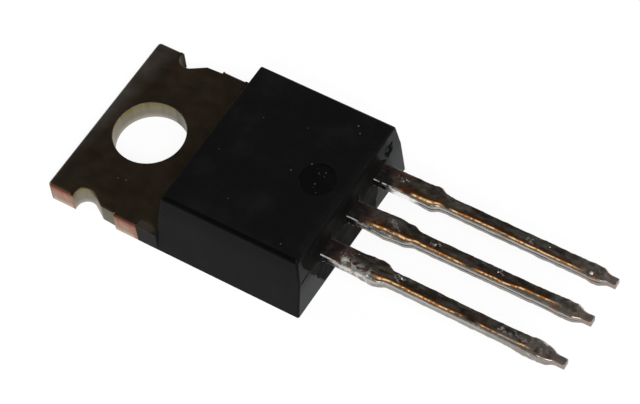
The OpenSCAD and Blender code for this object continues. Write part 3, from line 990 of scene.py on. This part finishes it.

# Along the near upper edge the flux has dried to an amber bead with a brown border, and its core
# carries a painted bright gold highlight.
edge = up + across
drift = mottled(slow, 0.7, 0.2, 0.8) * 0.26 - 0.13
on_drain = band(x, -1.3, -1.2, 1.2, 1.3)
spread_in = on_drain * eased(run, 8.6, 9.8, 0.0, -0.4)
strip = drift + spread_in + edge
rim = on_top * eased(strip, 0.3, 0.18) * eased(run, 1.1, 1.4)
colour = tinted(rim * 0.85, colour, rim_grey)
wide_break = mottled(slow, 0.9, 0.3, 0.44)
flowing = band(run, 1.0, 1.8, 11.2, 12.0) * wide_break
gate_wide = on_gate * eased(run, 3.4, 3.0)
flowing = flowing * (1.0 - gate_wide * 0.75)
border = band(strip, 0.08, 0.2, 0.55, 0.95)
colour = tinted(border * flowing * 0.9, colour, rosin_brown)
core = band(strip, 0.16, 0.25, 0.42, 0.56)
dark_start = on_source * eased(run, 2.5, 2.0)
amber = core * flowing * eased(dark_start, 1.0, 0.0)
bead = mottled(quick, 5.5, 0.42, 0.55)
inner = band(strip, 0.21, 0.28, 0.37, 0.46)
colour = tinted(amber, colour, tinted(inner * bead, rosin_amber, rosin_gold_highlight))
# Near the root the near upper edge carries a painted silver glint.
silver_glint = band(edge, -0.14, -0.05, 0.03, 0.12) * eased(run, 1.25, 1.05)
colour = tinted(silver_glint * mottled(quick, 4.0, 0.4, 0.55), colour, tin_bright_and_glint)

# The gate pin has bright solder on its wide part and pale lumps before its tip.
wide_tin = band(run, 1.0, 1.4, 2.7, 3.2) * on_gate * eased(edge, 1.15, 0.5)
colour = tinted(wide_tin * mottled(places, 3.4, 0.44, 0.56), colour, tin_bright_and_glint)
tip_tin = eased(run, 9.2, 10.2) * on_gate * eased(edge, 1.2, 0.6)
tip_tin = highest(tip_tin, on_gate * eased(run, 10.6, 11.2)) * mottled(places, 2.4, 0.36, 0.56)
colour = tinted(tip_tin * 0.85, colour, tin_dull)

# Towards their tips all three are soiled with flux, and the nipped ends show bare metal.
tip_soil = tinted(mottled(places, 2.8, 0.42, 0.56), tarnish_brown, tin_dull)
tip_rosin = eased(edge, 0.95, 0.7) * mottled(quick, 2.0, 0.44, 0.6)
tip_soil = tinted(tip_rosin * 0.6, tip_soil, rosin_amber)
at_tip = eased(run, 10.9, 11.5) * (on_top * 0.45 + 0.3)
colour = tinted(at_tip * (1.0 - on_gate * 0.7), colour, tip_soil)
nipped = eased(run, 12.6, 12.9)
colour = tinted(nipped * (0.85 - mid_scale * 0.35), colour, nipped_grey)
metal = 0.9 - highest(amber, reddened * 0.8) * 0.6
gloss = fine * 0.1 + (on_top * 0.08 + 0.22)
relief = (fine * 0.25 + clouds(slow, 3.0, 3.0)) * (on_top * 0.65 + 0.35)
coat(tree, {"Base Color": colour, "Metallic": metal, "Roughness": gloss}, relief, strength=0.35,
     depth=0.05 * MM)

pins = [("gate_pin", "gate_lead", {
            "Place Across": -lead_pitch, "Seed": 3.0, "Droop": 0.12 * MM, "Shoulder Lump": 0.06 * MM,
            "Shoulder Lump Place": 2.9 * MM, "Tip Lump": 0.08 * MM, "Tip Lump Place": 11.7 * MM,
            "Stub Length": 1.0 * MM}),
        ("drain_pin", "heat_sink_tab", {
            "Place Across": 0.0, "Seed": 11.0, "Lean": 0.1 * MM, "Shoulder Lump Place": 2.2 * MM,
            "Tip Lump Place": 12.0 * MM, "Stub Length": 1.0 * MM, "Stub Taper": 0.65 * MM}),
        ("source_pin", "source_lead", {
            "Place Across": lead_pitch, "Seed": 7.0, "Droop": 0.03 * MM, "Shoulder Lump Place": 3.4 * MM,
            "Tip Lump Place": 12.3 * MM, "Tip Lump Length": 0.5 * MM, "Stub Length": 0.9 * MM})]
for name, node, values in pins:
    pin = grown(name, pin_tree, {**values, "Material": material})
    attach(pin, "root")
    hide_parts(node)

# Inside the housing each outer lead ends in a flat post for its bond wires, on a short neck.
post_outline = [(-0.59, -11.76), (-0.59, -11.2), (-1.09, -11.2), (-1.09, -10.0), (1.56, -10.0),
                (1.56, -11.2), (0.59, -11.2), (0.59, -11.76)]
for side, name, node in ((-1, "gate_post", "gate_lead"), (1, "source_post", "source_lead")):
    shape = bmesh.new()
    shape_outline = [(side * (lead_pitch + x * MM), y * MM) for x, y in post_outline]
    plate(shape, shape_outline, lead_height - lead_half_thick, lead_height + lead_half_thick)
    post = finished(shape, name, [material])
    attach(post, "root")
    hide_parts(node)


# Flux residue
# Brown-black flux that boiled out round the leads when the part was desoldered. It dried as a thin
# uneven film over the middle of the lead-side end, and climbs a little way up each lead.
film_pitch = 0.05 * MM
film_outline = [(-4.3, 4.09), (-4.3, 3.5), (-3.87, 2.45), (-2.74, 0.06), (2.2, 0.06), (2.7, 2.3),
                (3.14, 3.2), (2.75, 4.09)]
film_depth = 0.022 * MM
film_climb = 0.16 * MM
film_reach = 0.3 * MM
film_back = 0.03 * MM
edge_wander = 0.16
edge_fade = 0.12
lead_low, lead_high = lead_height - lead_half_thick, lead_height + lead_half_thick


def inside_by(x, z, corners):
    """How far a point lies inside a polygon, in millimetres; outside it is negative."""
    nearest, inside = 1e9, False
    for (ax, az), (bx, bz) in zip(corners, corners[1:] + corners[:1]):
        run_x, run_z = bx - ax, bz - az
        share = max(0, min(1, ((x - ax) * run_x + (z - az) * run_z) / (run_x ** 2 + run_z ** 2)))
        nearest = min(nearest, math.hypot(x - ax - share * run_x, z - az - share * run_z))
        if (az > z) != (bz > z) and x < ax + (z - az) * run_x / run_z:
            inside = not inside
    return nearest if inside else -nearest


def film_thickness(x, z):
    """How thick the flux lies at this place on the end face; below zero there is none."""
    spot = Vector((x, 3.7, z)) / MM
    margin = inside_by(x / MM, z / MM, film_outline) + edge_wander * noise.noise(spot * 1.7) - 0.05
    if margin < -0.1:
        return -film_depth
    ripple = 0.5 + 0.5 * noise.fractal(spot * 0.8, 1.0, 2.0, 1)
    thickness = film_depth * min(1, margin / edge_fade) * (0.5 + 1.4 * ripple)
    for lead in (-lead_pitch, 0, lead_pitch):
        away = math.hypot(max(abs(x - lead) - wide_half, 0), max(lead_low - z, z - lead_high, 0))
        reach = film_reach * (0.6 + 0.8 * ripple)
        if away < reach:
            thickness += film_climb * (0.4 + ripple) * (1 - away / reach) ** 2
    return thickness


shape = bmesh.new()
front, behind = {}, {}
columns = range(round(-4.5 * MM / film_pitch), round(3.4 * MM / film_pitch) + 1)
heights = range(1, round(4.1 * MM / film_pitch) + 1)
for i in columns:
    for j in heights:
        thickness = film_thickness(i * film_pitch, j * film_pitch)
        if thickness > -film_depth * 0.9:
            at = (i * film_pitch, end_face_y(j * film_pitch) - thickness, j * film_pitch)
            front[i, j] = shape.verts.new(at)
            behind[i, j] = shape.verts.new((at[0], end_face_y(at[2]) + film_back, at[2]))
cells = [(i, j) for i, j in front if all(key in front for key in ((i + 1, j), (i + 1, j + 1), (i, j + 1)))]
for i, j in cells:
    loop = [(i, j), (i + 1, j), (i + 1, j + 1), (i, j + 1)]
    shape.faces.new([front[key] for key in loop])
    shape.faces.new([behind[key] for key in reversed(loop)])
taken = set(cells)
for i, j in cells:
    for neighbour, a, b in [((i, j - 1), (i, j), (i + 1, j)), ((i + 1, j), (i + 1, j), (i + 1, j + 1)),
                            ((i, j + 1), (i + 1, j + 1), (i, j + 1)), ((i - 1, j), (i, j + 1), (i, j))]:
        if neighbour not in taken:
            shape.faces.new((front[b], front[a], behind[a], behind[b]))
bmesh.ops.delete(shape, geom=[v for v in shape.verts if not v.link_faces], context="VERTS")
film = finished(shape, "flux_film", sharp_angle=60)

flux_black = (0.0042, 0.0042, 0.004, 1)
flux_brown = (0.009, 0.0075, 0.006, 1)
material, tree = empty_material("flux_residue")
places = millimetres(tree)
colour = tinted(mottled(places, 0.9, 0.45, 0.75), flux_black, flux_brown)
dried = speckled(places, 4.0, 0.1, 0.06)
colour = tinted(dried * 0.5, colour, speck_pale)
gloss = mottled(places, 1.4, 0.35, 0.65) * 0.15 + 0.5
relief = clouds(places, 2.5, 2.0)
coat(tree, {"Base Color": colour, "Roughness": gloss, "IOR": 1.5, "Specular IOR Level": 0.012}, relief)
film.data.materials.append(material)
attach(film, "root")


# Solder beads and residue crumbs
# Tiny beads of solder left on the leads when the part was pulled off its board, and glassy crumbs of
# dried flux in the ejector mark and along the lead-side edge. They stick where they fell.
whole_turn = 6.28
crumb_sizes = {"Least": 0.4, "Most": 1.25, "Unevenness": 0.5, "Seed": 5.0}
crumb_tree, given = new_group("stuck_crumbs", "GeometryNodeTree", {
    "Geometry": "NodeSocketGeometry", **crumb_sizes, "Material": "NodeSocketMaterial"},
    "Geometry", "NodeSocketGeometry")
ball = put(crumb_tree, "GeometryNodeMeshIcoSphere", {"Radius": 1.0, "Subdivisions": 3})
bulge = put(crumb_tree, "ShaderNodeTexNoise", {
    "Vector": put(crumb_tree, "GeometryNodeInputPosition"), "W": given["Seed"], "Scale": 1.3,
    "Detail": 1.0}, noise_dimensions="4D")
bulge = (bulge * 2.0 - 1.0) * given["Unevenness"]
swollen = vector_calc("SCALE", put(crumb_tree, "GeometryNodeInputNormal"), bulge)
lump = put(crumb_tree, "GeometryNodeSetPosition", {"Geometry": ball, "Offset": swollen})
lump = put(crumb_tree, "GeometryNodeSetShadeSmooth", {"Geometry": lump, "Shade Smooth": True})
size = put(crumb_tree, "GeometryNodeInputNamedAttribute", {"Name": "size"}, data_type="FLOAT")
limits = [combine(*[given[name]] * 3) for name in ("Least", "Most")]
varied = put(crumb_tree, "FunctionNodeRandomValue", {0: limits[0], 1: limits[1], "Seed": 3},
             data_type="FLOAT_VECTOR")
turned = put(crumb_tree, "FunctionNodeRandomValue", {
    0: [0.0] * 3, 1: [whole_turn] * 3, "Seed": 8}, data_type="FLOAT_VECTOR")
scaled = vector_calc("SCALE", varied, size)
strewn = put(crumb_tree, "GeometryNodeInstanceOnPoints", {
    "Points": given["Geometry"], "Instance": lump, "Rotation": turned, "Scale": scaled})
close_tree(strewn, given["Material"])

bead_pale = (0.55, 0.53, 0.5, 1)
bead_dull = (0.3, 0.28, 0.25, 1)
bead_material, tree = empty_material("solder_bead")
places = millimetres(tree)
colour = tinted(mottled(places, 7.0, 0.4, 0.6), bead_pale, bead_dull)
gloss = mottled(places, 4.0, 0.3, 0.7) * 0.15 + 0.36
coat(tree, {"Base Color": colour, "Metallic": 0.6, "Roughness": gloss})

glass_pale = (0.075, 0.072, 0.068, 1)
glass_dark = (0.012, 0.011, 0.01, 1)
glass_material, tree = empty_material("flux_glass")
places = millimetres(tree)
colour = tinted(mottled(places, 9.0, 0.4, 0.6), glass_pale, glass_dark)
gloss = mottled(places, 5.0, 0.3, 0.7) * 0.2 + 0.2
coat(tree, {"Base Color": colour, "Roughness": gloss, "IOR": 1.5, "Specular IOR Level": 0.2})

solder_beads = [
    (2.61, -20.81, 3.2, 0.045), (2.68, -21.05, 3.2, 0.04), (2.67, -22.0, 3.2, 0.04),
    (2.35, -24.48, 3.17, 0.13), (2.58, -15.14, 3.18, 0.07), (2.72, -15.2, 3.19, 0.05),
    (2.57, -13.76, 3.18, 0.07), (2.72, -13.9, 3.2, 0.05), (0.1, -17.07, 3.18, 0.08),
    (0.25, -17.25, 3.2, 0.05), (0.38, -19.1, 3.22, 0.035), (0.2, -20.54, 3.2, 0.06),
    (0.39, -20.65, 3.22, 0.04), (-2.35, -16.64, 3.18, 0.06), (-2.95, -14.4, 3.14, 0.1),
    (-3.05, -14.05, 3.12, 0.08), (-2.9, -14.8, 3.15, 0.07), (-2.98, -15.35, 3.08, 0.1),
    (2.08, -15.72, 2.78, 0.1), (2.1, -15.5, 2.76, 0.07), (-0.42, -15.55, 2.78, 0.1),
    (-0.45, -15.3, 2.74, 0.07), (-2.98, -15.1, 2.74, 0.08), (-2.5, -22.1, 3.12, 0.1),
    (-2.7, -22.5, 3.09, 0.1), (-2.45, -23.3, 3.08, 0.12), (-2.7, -23.7, 3.05, 0.12),
    (-2.55, -24.0, 3.05, 0.13), (-2.4, -13.9, 3.2, 0.06), (-2.2, -14.1, 3.2, 0.05)]
crumbs = [
    (0.57, -10.1, 4.27, 0.035), (0.4, -10.3, 4.27, 0.045), (0.33, -10.36, 4.27, 0.03),
    (0.57, -10.6, 4.27, 0.045), (0.33, -10.65, 4.27, 0.04), (-0.26, -10.47, 4.27, 0.045),
    (-0.47, -10.5, 4.27, 0.025), (-0.68, -10.78, 4.27, 0.045), (0.7, -9.75, 4.33, 0.012),
    (1.6, -11.95, 4.22, 0.05), (1.45, -12.0, 4.2, 0.04), (1.2, -12.02, 4.18, 0.05),
    (1.1, -11.98, 4.2, 0.03), (0.06, -12.03, 4.16, 0.055), (-0.05, -12.05, 4.1, 0.045),
    (-1.05, -12.05, 4.12, 0.05), (-0.85, -12.15, 3.6, 0.05), (-0.45, -12.24, 2.45, 0.05),
    (-0.35, -12.27, 2.1, 0.04), (-3.55, -12.06, 4.02, 0.07), (-3.35, -12.1, 3.9, 0.05),
    (-2.2, -12.08, 3.85, 0.06), (-1.95, -12.1, 3.95, 0.05), (1.75, -12.14, 3.66, 0.05),
    (2.0, -12.4, 2.68, 0.05), (1.97, -12.65, 2.7, 0.045), (1.96, -12.95, 2.69, 0.05),
    (1.96, -13.2, 2.7, 0.06), (-0.58, -12.5, 2.7, 0.05), (-0.6, -12.75, 2.71, 0.04),
    (-3.12, -12.55, 2.7, 0.045), (-3.13, -12.8, 2.71, 0.04)]
for name, spots, material, slot in [("solder_beads", solder_beads, bead_material, "tinned_lead"),
                                    ("flux_crumbs", crumbs, glass_material, "moulding_resin")]:
    stuck = grown(name, crumb_tree, {"Material": material}, spots)
    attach(stuck, "root")


# Inside the housing
# A polished silicon chip soldered to the pad, with aluminium wires bonded from its top to the two
# posts. The resin hides them all, so they keep the solids' shape and get their real finish.
silicon_grey = (0.33, 0.34, 0.38, 1)
silicon_blue = (0.24, 0.27, 0.36, 1)
solder_grey = (0.55, 0.55, 0.53, 1)
solder_dark = (0.36, 0.36, 0.35, 1)
wire_bright = (0.86, 0.86, 0.84, 1)
wire_dull = (0.7, 0.7, 0.69, 1)
inner_finishes = [
    (["silicon_die"], "silicon", silicon_grey, silicon_blue, 0.7, 0.08, 0.12, (0.4, 0.4, 0.4)),
    (["die_solder"], "solder", solder_grey, solder_dark, 0.9, 0.35, 0.2, (2.0, 2.0, 2.0)),
    (["gate_bond_wire", "source_bond_wire_1", "source_bond_wire_2"], "aluminium_wire",
     wire_bright, wire_dull, 0.95, 0.18, 0.12, (6.0, 0.6, 6.0))]
for nodes, name, light, dark, metallic, least, more, grain in inner_finishes:
    material, tree = empty_material(name)
    places = millimetres(tree)
    marked = mottled(stretched(places, grain), 1.5, 0.3, 0.7)
    gloss = marked * more + least
    coat(tree, {"Base Color": tinted(marked, light, dark), "Metallic": metallic, "Roughness": gloss},
         marked, strength=0.15, depth=0.01 * MM)
    for node in nodes:
        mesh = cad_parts[node].data
        if not mesh.materials:
            mesh.materials.append(material)
        for i in range(len(mesh.materials)):
            mesh.materials[i] = material
